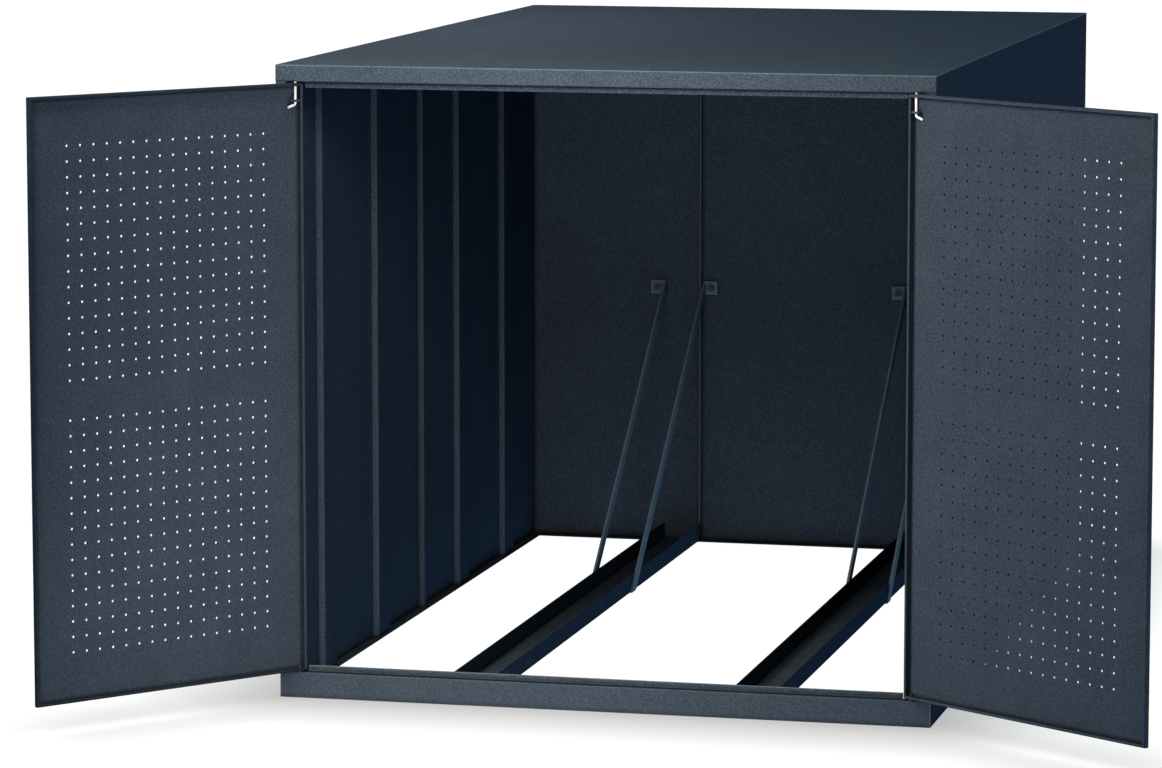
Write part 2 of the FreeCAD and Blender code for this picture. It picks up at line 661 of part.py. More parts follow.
def hasp_span(low, high):
    """Heights from the middle of the hasp."""
    return "hasp_height + " + low, "hasp_height + " + high


def make_hasp_plate():
    """The plate welded to the right leaf, with the two end knuckles."""
    body = door_body("hasp_plate", "right")
    axis = "(%s - hasp_inset)" % DOOR_EDGE
    notch = "(knuckle_radius + knuckle_gap)"
    low, high = hasp_span("-hasp_width / 2", "hasp_width / 2")
    mid_low, mid_high = hasp_span("-knuckle_length / 2 - knuckle_gap", "knuckle_length / 2 + knuckle_gap")
    outline = [(axis + " - hasp_plate_length", low), (axis, low), (axis, mid_low),
               (axis + " - " + notch, mid_low), (axis + " - " + notch, mid_high), (axis, mid_high),
               (axis, high), (axis + " - hasp_plate_length", high)]
    base = add_sketch(body, "XZ_Plane", [mirrored(outline)], offset="pivot_setback")
    pad(body, base, "hasp_sheet")
    rings = [("-" + axis, "-pivot_setback - hasp_axis", "knuckle_radius")]
    for start in (low, mid_high):
        base = add_sketch(body, "XY_Plane", circles=rings, offset=start)
        pad(body, base, "(hasp_width - knuckle_length) / 2 - knuckle_gap")
    bore = [("-" + axis, "-pivot_setback - hasp_axis", "hasp_pin_diameter / 2 + running_gap")]
    pocket(body, add_sketch(body, "XY_Plane", circles=bore, offset=high), "hasp_width")


def make_hasp_pin():
    body = door_body("hasp_pin", "right")
    axis = "-(%s - hasp_inset)" % DOOR_EDGE
    low, high = hasp_span("-hasp_width / 2", "hasp_width / 2")
    ring = [(axis, "-pivot_setback - hasp_axis", "hasp_pin_diameter / 2")]
    pad(body, add_sketch(body, "XY_Plane", circles=ring, offset=low), "hasp_width")


def make_hasp_strap():
    """The strap, folded back on its plate, with the slot that goes over the staple."""
    body = door_body("hasp_strap", "right")
    axis = "(%s - hasp_inset)" % DOOR_EDGE
    reach = "(hasp_inset + meeting_gap + staple_inset)"
    slot = "(staple_width / 2 + slot_play)"
    end = "(%s + %s + hasp_sheet)" % (reach, slot)
    shoulder = "(knuckle_radius + knuckle_gap)"
    low, high = hasp_span("-hasp_width / 2", "hasp_width / 2")
    mid_low, mid_high = hasp_span("-knuckle_length / 2", "knuckle_length / 2")
    outline = [(axis, mid_low), (axis, mid_high), (axis + " - " + shoulder, mid_high),
               (axis + " - " + shoulder, high), (axis + " - " + end, high), (axis + " - " + end, low),
               (axis + " - " + shoulder, low), (axis + " - " + shoulder, mid_low)]
    lifted = "pivot_setback + 2 * hasp_axis - 2 * hasp_sheet - hasp_lift"
    pad(body, add_sketch(body, "XZ_Plane", [mirrored(outline)], offset=lifted), "hasp_sheet")
    rings = [("-" + axis, "-pivot_setback - hasp_axis", "knuckle_radius")]
    pad(body, add_sketch(body, "XY_Plane", circles=rings, offset=mid_low), "knuckle_length")
    bore = [("-" + axis, "-pivot_setback - hasp_axis", "hasp_pin_diameter / 2 + running_gap")]
    pocket(body, add_sketch(body, "XY_Plane", circles=bore, offset=mid_high), "knuckle_length")
    half = "(staple_thickness / 2 + slot_side_play)"
    window = rectangle("%s - %s - %s" % (axis, reach, slot), "%s - %s + %s" % (axis, reach, slot),
                       "hasp_height - " + half, "hasp_height + " + half)
    base = add_sketch(body, "XZ_Plane", [mirrored(window)], offset=lifted + " + hasp_sheet")
    pocket(body, base, "hasp_sheet")
    corners = [value("-(%s) + %s" % (axis, end))]
    round_edges(body, "hasp_width / 4", lambda a, b: near(a.x, corners[0]) and near(b.x, corners[0])
                and near(a.z, b.z))


def make_staple():
    """The plate welded to the left leaf, with the eye that takes a padlock's shackle."""
    body = door_body("staple", "left")
    middle = "(%s - staple_inset)" % DOOR_EDGE
    low, high = hasp_span("-hasp_width / 2", "hasp_width / 2")
    plate = rectangle(middle + " - staple_plate / 2", middle + " + staple_plate / 2", low, high)
    pad(body, add_sketch(body, "XZ_Plane", [plate], offset="pivot_setback"), "hasp_sheet")
    top = "-pivot_setback - staple_rise"
    neck = rectangle(middle + " - staple_width / 2", middle + " + staple_width / 2", top, "-pivot_setback")
    start = "hasp_height - staple_thickness / 2"
    pad(body, add_sketch(body, "XY_Plane", [neck], offset=start), "staple_thickness")
    crown = [(middle, top, "staple_width / 2")]
    pad(body, add_sketch(body, "XY_Plane", circles=crown, offset=start), "staple_thickness")
    eye = [(middle, top, "staple_hole / 2")]
    base = add_sketch(body, "XY_Plane", circles=eye, offset=start + " + staple_thickness")
    pocket(body, base, "staple_thickness")


# Assembly

SIDES = ("left", "right")
RIB_PLACES = (FRONT + " + rib_end", "-rib_inner", "rib_inner", REAR + " - rib_end")

for side in SIDES:
    make_front_wall_panel(side)
    make_rear_wall_panel(side)
    make_joint_post(side)
    for number, y in enumerate(RIB_PLACES, start=1):
        make_wall_rib(side, number, y)
    make_side_rear_panel(side)
    make_wheel_rail(side)
    make_pivot_stub(side)
    make_pivot_washer(side)
    make_door_leaf(side)
    make_hinge_lug(side)
    make_hinge_pin(side)
    for bar_side in SIDES:
        make_guide_bar(side, bar_side)
for number, y in enumerate(RIB_PLACES, start=1):
    make_roof_rib(number, y)
make_middle_rear_panel()
make_roof_panel()
make_front_header()
make_threshold()
make_rail_bolts()
make_guide_bolts()
make_hasp_plate()
make_hasp_pin()
make_hasp_strap()
make_staple()

doc.recompute()
for item in doc.Objects:
    if "Invalid" in item.State or "Error" in item.State:
        raise ValueError("%s failed: %s" % (item.Label, item.State))

PIECES = [item for item in doc.Objects if item.TypeId in ("PartDesign::Body", "Part::Compound")]
os.makedirs("parts", exist_ok=True)
for piece in PIECES:
    shape = piece.Shape
    if shape.isNull() or not shape.isValid() or not shape.Solids:
        raise ValueError("%s has no valid solid" % piece.Label)
for piece in PIECES:
    piece.Shape.exportStep("parts/%s.step" % piece.Label)
    print("%-32s solids %d  volume %.0f" % (piece.Label, len(piece.Shape.Solids), piece.Shape.Volume))
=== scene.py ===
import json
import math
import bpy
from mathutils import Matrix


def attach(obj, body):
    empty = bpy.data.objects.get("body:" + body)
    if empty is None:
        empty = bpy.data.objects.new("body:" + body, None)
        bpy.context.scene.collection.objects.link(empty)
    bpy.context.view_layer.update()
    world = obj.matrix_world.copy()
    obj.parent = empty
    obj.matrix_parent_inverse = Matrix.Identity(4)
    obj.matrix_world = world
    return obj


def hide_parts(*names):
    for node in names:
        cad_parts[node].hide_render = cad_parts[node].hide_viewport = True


bl_info = {
    "name": "Bicycle Locker",
    "version": (1, 0, 0),
    "blender": (4, 5, 0),
    "location": "View3D > Sidebar > Bicycle Locker",
    "description": "Coats a folded sheet steel locker and fits its two punched door leaves",
    "category": "Object",
}

import bmesh
import bpy
from mathutils import Matrix, Vector

# All lengths are metres in the part's own frame: X to the right, Y to the rear, Z up.
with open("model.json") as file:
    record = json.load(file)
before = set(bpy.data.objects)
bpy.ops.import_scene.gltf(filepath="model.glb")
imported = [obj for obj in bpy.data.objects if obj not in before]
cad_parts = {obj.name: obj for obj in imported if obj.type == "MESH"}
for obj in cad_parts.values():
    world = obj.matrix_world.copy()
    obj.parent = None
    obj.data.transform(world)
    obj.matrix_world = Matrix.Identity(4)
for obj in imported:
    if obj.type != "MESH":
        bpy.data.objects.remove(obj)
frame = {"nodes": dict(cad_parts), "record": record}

COAT_SLOT = "powder_coated_steel"
ZINC_SLOT = "zinc_steel"
GUIDE_BARS = ("left_rail_left_guide_bar", "left_rail_right_guide_bar",
              "right_rail_left_guide_bar", "right_rail_right_guide_bar")
REAR_SHEETS = ("rear_wall_left_panel", "rear_wall_middle_panel", "rear_wall_right_panel")
HINGE_PINS = ("left_hinge_pin", "right_hinge_pin")
# Spacing of the patterns. The coat's grain is about 0.6 mm, and is drawn at 2.6 mm so that it
# shows in the render.
GRAIN = 0.0026
CLOUDS = 0.09
PATCHES = 0.003
# How wide the painted highlight along the folds' edges is.
HIGHLIGHT_RADIUS = 0.004
# Half the floor's width, how far its shadows reach, and half the cabinet's width and depth,
# outside and within its walls.
HALF_FLOOR = 90
CONTACT_REACH = 0.3
SHADOW_REACH = 0.33
FOOTPRINT = (0.655, 1.03, 0)
WITHIN_WALLS = (0.645, 1.02)
# Levels this near are the same, and corners this near are merged.
NEARLY = 1e-6
MERGED = 1e-5


# Sizes and colours

class LockerLeafSizes(bpy.types.PropertyGroup):
    """Sizes of the two door leaves."""

    width: bpy.props.FloatProperty(
        name="Width", description="Hinge edge to free edge of a leaf",
        default=0.6255, unit="LENGTH", subtype="DISTANCE")
    height: bpy.props.FloatProperty(
        name="Height", description="Bottom to top of a leaf",
        default=1.17, unit="LENGTH", subtype="DISTANCE")
    depth: bpy.props.FloatProperty(
        name="Depth", description="Outer face to the back of the turned lips",
        default=0.0135, unit="LENGTH", subtype="DISTANCE")
    lip: bpy.props.FloatProperty(
        name="Lip", description="Width of the lip turned back round the leaf",
        default=0.006, unit="LENGTH", subtype="DISTANCE")
    sheet: bpy.props.FloatProperty(
        name="Sheet", description="Thickness of the leaf's sheet",
        default=0.0015, unit="LENGTH", subtype="DISTANCE")
    fold: bpy.props.FloatProperty(
        name="Fold radius", description="Outer radius of the leaf's folds",
        default=0.0025, unit="LENGTH", subtype="DISTANCE")
    hole: bpy.props.FloatProperty(
        name="Hole", description="Diameter of a punched hole",
        default=0.005, unit="LENGTH", subtype="DISTANCE")
    pitch: bpy.props.FloatProperty(
        name="Pitch", description="From one punched hole to the next, both ways",
        default=0.03, unit="LENGTH", subtype="DISTANCE")
    count: bpy.props.IntProperty(
        name="Holes a side", description="Punched holes along each side of a field", default=16)
    hinge_margin: bpy.props.FloatProperty(
        name="Hinge margin", description="Hinge edge to the first column's cells",
        default=0.0715, unit="LENGTH", subtype="DISTANCE")
    end_margin: bpy.props.FloatProperty(
        name="End margin", description="Top or bottom edge to the nearest row's cells",
        default=0.0815, unit="LENGTH", subtype="DISTANCE")
    pivot_inset: bpy.props.FloatProperty(
        name="Pivot inset", description="Hinge edge to the pivots",
        default=0.013, unit="LENGTH", subtype="DISTANCE")
    pivot_setback: bpy.props.FloatProperty(
        name="Pivot setback", description="Outer face to the pivots",
        default=0.005, unit="LENGTH", subtype="DISTANCE")
    pivot_x: bpy.props.FloatProperty(
        name="Pivot, sideways", description="Middle of the locker to a door's pivots",
        default=0.616, unit="LENGTH", subtype="DISTANCE")
    pivot_y: bpy.props.FloatProperty(
        name="Pivot, forwards", description="Middle of the locker to a door's pivots",
        default=-1.025, unit="LENGTH", subtype="DISTANCE")
    bottom: bpy.props.FloatProperty(
        name="Bottom", description="Ground to the bottom of a leaf",
        default=0.0545, unit="LENGTH", subtype="DISTANCE")
    left_angle: bpy.props.FloatProperty(
        name="Left door", description="How far the left door stands open",
        default=math.radians(128.6), unit="ROTATION", subtype="ANGLE")
    right_angle: bpy.props.FloatProperty(
        name="Right door", description="How far the right door stands open",
        default=math.radians(145), unit="ROTATION", subtype="ANGLE")


class LockerFinishes(bpy.types.PropertyGroup):
    """Colours of the finishes, as sRGB hex values."""

    coat: bpy.props.StringProperty(
        name="Coat", description="Powder coat, in daylight", default="#27323F")
    coat_light: bpy.props.StringProperty(
        name="Coat, light grain", description="Tops of the powder coat's grain",
        default="#4F5A66")
    # Painted shade: the coat's colours on faces turned sideways, darker than on the front faces.
    side_shade_coat: bpy.props.StringProperty(
        name="Deep coat", description="Powder coat on faces turned sideways",
        default="#1B2735")
    side_shade_coat_light: bpy.props.StringProperty(
        name="Deep coat, light grain", description="Tops of the deep coat's grain",
        default="#394757")
    # Painted light: the paler coat that makes the bars look lit, and its grain's tops, which are
    # also the painted highlight on the folds' edges.
    painted_bar_light: bpy.props.StringProperty(
        name="Rubbed coat", description="Powder coat where daily use rubs it",
        default="#4E6373")
    painted_highlight: bpy.props.StringProperty(
        name="Rubbed coat, light grain", description="Tops of the rubbed coat's grain",
        default="#6A8090")
    zinc: bpy.props.StringProperty(
        name="Zinc", description="Bright zinc plating", default="#F2F5F8")
    zinc_dull: bpy.props.StringProperty(
        name="Zinc, dull", description="Duller patches of the bright plating",
        default="#D8DDE2")
    dark_zinc: bpy.props.StringProperty(
        name="Dark zinc", description="Dark plating of pivots and bolts", default="#4A525A")
    dark_zinc_dull: bpy.props.StringProperty(
        name="Dark zinc, dull", description="Duller patches of the dark plating",
        default="#33393F")
    floor: bpy.props.StringProperty(
        name="Floor", description="Pale studio floor, as it glows", default="#FFFFFF")
    floor_light: bpy.props.StringProperty(
        name="Floor's light", description="Light that the floor gives the locker",
        default="#B4D9FC")
    floor_body: bpy.props.StringProperty(
        name="Floor's body", description="The floor's own colour under its glow",
        default="#383838")


# Materials

# The coats differ in grain and in painted light and shade. grain_amount sets how pale the grain's
# tops are, lighter how far the whole coat is painted paler, as lit, or darker, as shaded, and
# fold how far painted shade reaches into inner folds, in metres. gloss is the coat's sheen, edges
# how strong the painted highlight on the folds' edges is, and ledge the height of a ledge painted
# with shade. The others turn on painted shade on faces turned sideways, painted light on the bars
# and painted shade low on a wall.
COATS = {
    "textured_powder_coat": {"gloss": 0.0, "sideways": True},
    "calm_powder_coat": {"grain_amount": 0.45, "lighter": -0.11, "fold": 0.013},
    "rim_shade_powder_coat": {"grain_amount": 0.2, "lighter": -0.5},
    "rib_powder_coat": {"grain_amount": 0.45, "lighter": 0.22, "gloss": 0.0, "sideways": True},
    "rear_powder_coat": {"grain_amount": 0.5, "lighter": 0.35, "edges": 0.3, "shade_low_down": True},
    "edge_highlight_powder_coat": {"grain_amount": 0.6, "edges": 0.65},
    "sill_powder_coat": {"grain_amount": 0.55, "lighter": 0.05, "edges": 0.65, "ledge": 0.052},
    "bar_light_powder_coat": {"painted_bar_light": True},
}


def linear(text):
    """An sRGB hex value as the linear colour that shaders take."""
    parts = [int(text[place:place + 2], 16) / 255 for place in (1, 3, 5)]
    return [part / 12.92 if part <= 0.04045 else ((part + 0.055) / 1.055) ** 2.4
            for part in parts] + [1]


def node(tree, kind, settings, inputs):
    """Adds a node with its settings, and gives each input a number, a colour or a link."""
    made = tree.nodes.new(kind)
    for name, setting in settings.items():
        setattr(made, name, setting)
    for name, source in inputs.items():
        if isinstance(source, bpy.types.NodeSocket):
            tree.links.new(source, made.inputs[name])
        else:
            made.inputs[name].default_value = source
    return made


def new_material(name):
    """An empty material, its nodes, and the place on the piece that its patterns follow."""
    material = bpy.data.materials.new(name)
    material.use_nodes = True
    tree = material.node_tree
    tree.nodes.clear()
    return material, tree, node(tree, "ShaderNodeTexCoord", {}, {}).outputs["Object"]


def painted_shade_on_sides(tree, colour, tops, lighter):
    """Paints shade on faces turned to the sides, which the light from the front leaves darker.

    They aren't painted lighter as the other faces are.
    """
    colours = bpy.context.scene.locker_finishes
    side_shade, side_shade_tops = ([part / (1 + lighter) for part in linear(hue)]
                       for hue in (colours.side_shade_coat, colours.side_shade_coat_light))
    face = node(tree, "ShaderNodeNewGeometry", {}, {})
    parts = node(tree, "ShaderNodeSeparateXYZ", {}, {"Vector": face.outputs["True Normal"]})
    turned = node(tree, "ShaderNodeMath", {"operation": "ABSOLUTE"}, {0: parts.outputs["X"]})
    side_facing = node(tree, "ShaderNodeMapRange", {}, {
        "Value": turned.outputs["Value"], "From Min": 0.6, "From Max": 0.95})
    deep = node(tree, "ShaderNodeMix", {"data_type": "RGBA"}, {
        0: tops, 6: side_shade, 7: side_shade_tops})
    return node(tree, "ShaderNodeMix", {"data_type": "RGBA"}, {
        0: side_facing.outputs["Result"], 6: colour, 7: deep.outputs[2]}).outputs[2]


def painted_light_on_bars(tree, colour, tops, place):
    """Paints light on a bar: paler over its lower 0.45 m, and less so towards its top."""
    colours = bpy.context.scene.locker_finishes
    height = node(tree, "ShaderNodeSeparateXYZ", {}, {"Vector": place})
    lit_share = node(tree, "ShaderNodeMapRange", {}, {
        "Value": height.outputs["Z"], "From Min": 0.66, "From Max": 0.45,
        "To Min": 0.45, "To Max": 1.0})
    pale = node(tree, "ShaderNodeMix", {"data_type": "RGBA"}, {
        0: tops, 6: linear(colours.painted_bar_light), 7: linear(colours.painted_highlight)})
    return node(tree, "ShaderNodeMix", {"data_type": "RGBA"}, {
        0: lit_share.outputs["Result"], 6: colour, 7: pale.outputs[2]}).outputs[2]


def painted_edge_highlight(tree, colour, most):
    """Paints a highlight along the folds' edges."""
    colours = bpy.context.scene.locker_finishes
    rounded = node(tree, "ShaderNodeBevel", {"samples": 6}, {"Radius": HIGHLIGHT_RADIUS})
    flat = node(tree, "ShaderNodeNewGeometry", {}, {})
    turn = node(tree, "ShaderNodeVectorMath", {"operation": "DOT_PRODUCT"}, {
        0: rounded.outputs["Normal"], 1: flat.outputs["Normal"]})
    highlight = node(tree, "ShaderNodeMapRange", {}, {
        "Value": turn.outputs["Value"], "From Min": 0.98, "From Max": 0.85,
        "To Min": 0.0, "To Max": most})
    return node(tree, "ShaderNodeMix", {"data_type": "RGBA"}, {
        0: highlight.outputs["Result"], 6: colour, 7: linear(colours.painted_highlight)}).outputs[2]


def painted_shade_on_ledge(tree, place, ledge):
    """Paints shade on the flat ledge, and none on the faces above and below.

    The ledge is found within 0.6 mm of its height.
    """
    height = node(tree, "ShaderNodeSeparateXYZ", {}, {"Vector": place})
    level = node(tree, "ShaderNodeMath", {"operation": "COMPARE"}, {
        0: height.outputs["Z"], 1: ledge, 2: 0.0006})
    return node(tree, "ShaderNodeMapRange", {}, {
        "Value": level.outputs["Value"], "To Min": 1.0, "To Max": 0.35}).outputs["Result"]


def painted_shade_low_down(tree, place):
    """Paints shade on the lower half of a wall, darker towards the bottom."""
    height = node(tree, "ShaderNodeSeparateXYZ", {}, {"Vector": place})
    return node(tree, "ShaderNodeMapRange", {}, {
        "Value": height.outputs["Z"], "From Min": 0.55, "From Max": 1.1,
        "To Min": 0.6, "To Max": 1.0}).outputs["Result"]


def coat_material(name, grain_amount=0.7, lighter=0.0, fold=0.01, gloss=0.02, sideways=False,
                  painted_bar_light=False, edges=0.0, ledge=0.0, shade_low_down=False):
    """Steel sheet, electrostatically coated with fine textured polyester powder and baked.

    To the eye it is a deep blue grey with a dry, slightly sparkling grain and no mirror gloss.
    """
    colours = bpy.context.scene.locker_finishes
    material, tree, place = new_material(name)
    grain = node(tree, "ShaderNodeTexNoise", {}, {
        "Vector": place, "Scale": 1 / GRAIN, "Detail": 2.0, "Roughness": 0.6})
    # Broad, faint clouds, where the powder lies a little thicker.
    clouds = node(tree, "ShaderNodeTexNoise", {}, {
        "Vector": place, "Scale": 1 / CLOUDS, "Detail": 3.0, "Roughness": 0.5})
    tops = node(tree, "ShaderNodeMapRange", {}, {
        "Value": grain.outputs["Fac"], "From Min": 0.42, "From Max": 0.68,
        "To Min": 0.0, "To Max": grain_amount}).outputs["Result"]
    colour = node(tree, "ShaderNodeMix", {"data_type": "RGBA"}, {
        0: tops, 6: linear(colours.coat), 7: linear(colours.coat_light)}).outputs[2]
    if sideways:
        colour = painted_shade_on_sides(tree, colour, tops, lighter)
    if painted_bar_light:
        colour = painted_light_on_bars(tree, colour, tops, place)
    if edges:
        colour = painted_edge_highlight(tree, colour, edges)
    # The clouds vary the tone at random, and lighter shifts the whole coat paler as painted light
    # or darker as painted shade.
    shade = node(tree, "ShaderNodeMapRange", {}, {
        "Value": clouds.outputs["Fac"], "From Min": 0.3, "From Max": 0.7,
        "To Min": 0.94 + lighter, "To Max": 1.06 + lighter})
    # Painted shade darkens the inner folds.
    corner = node(tree, "ShaderNodeAmbientOcclusion", {"samples": 6}, {"Distance": fold})
    brightness = node(tree, "ShaderNodeMapRange", {}, {
        "Value": corner.outputs["AO"], "From Min": 0.55, "From Max": 0.92,
        "To Min": 0.4, "To Max": 1.0}).outputs["Result"]
    # Painted shade on a ledge and low on a wall darkens the coat further.
    tones_and_shades = [shade.outputs["Result"]]
    if ledge:
        tones_and_shades.append(painted_shade_on_ledge(tree, place, ledge))
    if shade_low_down:
        tones_and_shades.append(painted_shade_low_down(tree, place))
    for film in tones_and_shades:
        brightness = node(tree, "ShaderNodeMath", {"operation": "MULTIPLY"}, {
            0: brightness, 1: film}).outputs["Value"]
    shaded = node(tree, "ShaderNodeVectorMath", {"operation": "SCALE"}, {
        0: colour, "Scale": brightness})
    rough = node(tree, "ShaderNodeMapRange", {}, {
        "Value": grain.outputs["Fac"], "From Min": 0.3, "From Max": 0.7,
        "To Min": 0.78, "To Max": 0.92})
    bump = node(tree, "ShaderNodeBump", {}, {
        "Height": grain.outputs["Fac"], "Strength": 0.6, "Distance": 0.0004})
    shader = node(tree, "ShaderNodeBsdfPrincipled", {}, {
        "Base Color": shaded.outputs["Vector"], "Roughness": rough.outputs["Result"],
        "Normal": bump.outputs["Normal"], "IOR": 1.5, "Specular IOR Level": gloss,
        "Metallic": 0.0})
    node(tree, "ShaderNodeOutputMaterial", {}, {"Surface": shader.outputs["BSDF"]})
    return material


def zinc_material(name, bright, dull, metallic):
    """Turned steel pins, washers and bolts, zinc plated.

    To the eye the pins are the brightest things on the locker, with a soft, slightly uneven
    shine, because their film scatters part of the light. Pivots and bolts are plated dark.
    """
    material, tree, place = new_material(name)
    # Dull patches in the plating.
    patches = node(tree, "ShaderNodeTexNoise", {}, {
        "Vector": place, "Scale": 1 / PATCHES, "Detail": 3.0, "Roughness": 0.6})
    colour = node(tree, "ShaderNodeMix", {"data_type": "RGBA"}, {
        0: patches.outputs["Fac"], 6: linear(bright), 7: linear(dull)})
    rough = node(tree, "ShaderNodeMapRange", {}, {
        "Value": patches.outputs["Fac"], "From Min": 0.3, "From Max": 0.7,
        "To Min": 0.3, "To Max": 0.45})
    bump = node(tree, "ShaderNodeBump", {}, {
        "Height": patches.outputs["Fac"], "Strength": 0.1, "Distance": 0.0001})
    shader = node(tree, "ShaderNodeBsdfPrincipled", {}, {
        "Base Color": colour.outputs[2], "Roughness": rough.outputs["Result"],
        "Normal": bump.outputs["Normal"], "Metallic": metallic})
    node(tree, "ShaderNodeOutputMaterial", {}, {"Surface": shader.outputs["BSDF"]})
    return material


def finish(name):
    """The locker's material of that name, made once."""
    colours = bpy.context.scene.locker_finishes
    plates = {
        "bright_zinc_plate": (colours.zinc, colours.zinc_dull, 0.35),
        "dark_zinc_plate": (colours.dark_zinc, colours.dark_zinc_dull, 0.9),
    }
    if name in bpy.data.materials:
        return bpy.data.materials[name]
    if name in plates:
        return zinc_material(name, *plates[name])
    return coat_material(name, **COATS[name])


def nodes_of(slot):
    """The CAD nodes that the record gives a material slot."""
    named = [piece["node"] for piece in frame["record"]["subparts"]
             if piece["material_slot"] == slot]
    if not named:
        raise ValueError("no node has the slot " + slot)
    return named


def coat(names, material):
    """Gives CAD nodes a material in place of their plain one."""
    for name in names:
        materials = frame["nodes"][name].data.materials
        materials.clear()
        materials.append(material)


# Door leaves

def at_level(bm, axis, level):
    """The boundary edges that lie at one level of an axis."""
    return [edge for edge in bm.edges if edge.is_boundary
            and all(abs(corner.co[axis] - level) < NEARLY for corner in edge.verts)]


def grow(bm, edges, step):
    """Extrudes edges and moves what is new by a step."""
    made = bmesh.ops.extrude_edge_only(bm, edges=edges)["geom"]
    corners = [item for item in made if isinstance(item, bmesh.types.BMVert)]
    bmesh.ops.translate(bm, verts=corners, vec=step)
    return corners


def repeat(bm, step, copies):
    """Sets copies of the whole mesh in a line and joins them."""
    bmesh.ops.spin(bm, geom=bm.verts[:] + bm.edges[:] + bm.faces[:], cent=(0, 0, 0),
                   axis=(0, 0, 1), dvec=step, angle=0, steps=copies, use_merge=False,
                   use_duplicate=True)
    bmesh.ops.remove_doubles(bm, verts=bm.verts[:], dist=MERGED)


def punched_cell(bm, sizes, centre):
    """A square of sheet with one round hole."""
    upright = Matrix.Translation(centre) @ Matrix.Rotation(math.radians(90), 4, "X")
    bmesh.ops.create_grid(bm, x_segments=3, y_segments=3, size=sizes.pitch / 2, matrix=upright)
    whole = bmesh.ops.dissolve_faces(bm, faces=bm.faces[:])["region"]
    bmesh.ops.delete(bm, geom=whole, context="FACES_ONLY")
    # Turned by half a side, the hole's 12 corners lie opposite the 12 of the cell's outline.
    turned = upright @ Matrix.Rotation(math.radians(15), 4, "Z")
    bmesh.ops.create_circle(bm, segments=12, radius=sizes.hole / 2, matrix=turned)
    bmesh.ops.bridge_loops(bm, edges=bm.edges[:])


def punch_face(bm, sizes, low, margins, face):
    """The flat outer face of a leaf, with one field of holes above the other."""
    field = sizes.pitch * sizes.count
    field_top = sizes.end_margin + field
    band = sizes.height - 2 * field_top
    first = (low + margins[0] + sizes.pitch / 2, face, sizes.end_margin + sizes.pitch / 2)
    punched_cell(bm, sizes, Vector(first))
    repeat(bm, (sizes.pitch, 0, 0), sizes.count - 1)
    grow(bm, at_level(bm, 0, low + margins[0]), (-margins[0], 0, 0))
    grow(bm, at_level(bm, 0, low + sizes.width - margins[1]), (margins[1], 0, 0))
    repeat(bm, (0, 0, sizes.pitch), sizes.count - 1)
    grow(bm, at_level(bm, 2, field_top), (0, 0, band))
    lower = [item for item in bm.faces if item.calc_center_median().z <= field_top]
    copied = bmesh.ops.duplicate(bm, geom=lower)["geom"]
    raised = [item for item in copied if isinstance(item, bmesh.types.BMVert)]
    bmesh.ops.translate(bm, verts=raised, vec=(0, 0, field + band))
    bmesh.ops.remove_doubles(bm, verts=bm.verts[:], dist=MERGED)
    grow(bm, at_level(bm, 2, sizes.end_margin), (0, 0, -sizes.end_margin))
    grow(bm, at_level(bm, 2, sizes.height - sizes.end_margin), (0, 0, sizes.end_margin))


def fold_rim(bm, sizes, low, face, rim_shade):
    """Folds the face's edges back as walls, and the walls' edges inwards as lips."""
    sides = ((0, low, 1), (0, low + sizes.width, -1), (2, 0, 1), (2, sizes.height, -1))
    rim = [edge for axis, level, _ in sides for edge in at_level(bm, axis, level)]
    grow(bm, rim, (0, sizes.depth, 0))
    back = at_level(bm, 1, face + sizes.depth)
    corners = grow(bm, back, (0, 0, 0))
    # The sheet gets its thickness inwards, so its faces must point outwards.
    bmesh.ops.recalc_face_normals(bm, faces=bm.faces[:])
    if sum(item.normal.y * item.calc_area() for item in bm.faces) > 0:
        bmesh.ops.reverse_faces(bm, faces=bm.faces[:])
    if rim_shade:
        # The walls and lips get painted shade, but not beside the hinge.
        for turned in bm.faces:
            folded = any(corner.co.y > face + NEARLY for corner in turned.verts)
            beyond = any(corner.co.x > low + sizes.lip + NEARLY for corner in turned.verts)
            if folded and beyond:
                turned.material_index = 1
    for axis, level, inwards in sides:
        row = [corner for corner in corners if abs(corner.co[axis] - level) < NEARLY]
        step = Vector((0, 0, 0))
        step[axis] = inwards * sizes.lip
        bmesh.ops.translate(bm, verts=row, vec=step)
    folds = [edge for edge in rim + back if edge.is_valid]
    bmesh.ops.bevel(bm, geom=folds, offset=sizes.fold, offset_type="OFFSET", segments=4,
                    profile=0.5, affect="EDGES", material=-1, clamp_overlap=True)


def leaf_sheet(sizes, left):
    """One folded leaf, closed and about its pivots, as the outer side of its sheet."""
    free_margin = sizes.width - sizes.pitch * sizes.count - sizes.hinge_margin
    margins = (sizes.hinge_margin, free_margin) if left else (free_margin, sizes.hinge_margin)
    low = -sizes.pivot_inset if left else sizes.pivot_inset - sizes.width
    face = -sizes.pivot_setback
    bm = bmesh.new()
    punch_face(bm, sizes, low, margins, face)
    fold_rim(bm, sizes, low, face, rim_shade=left)
    return bm


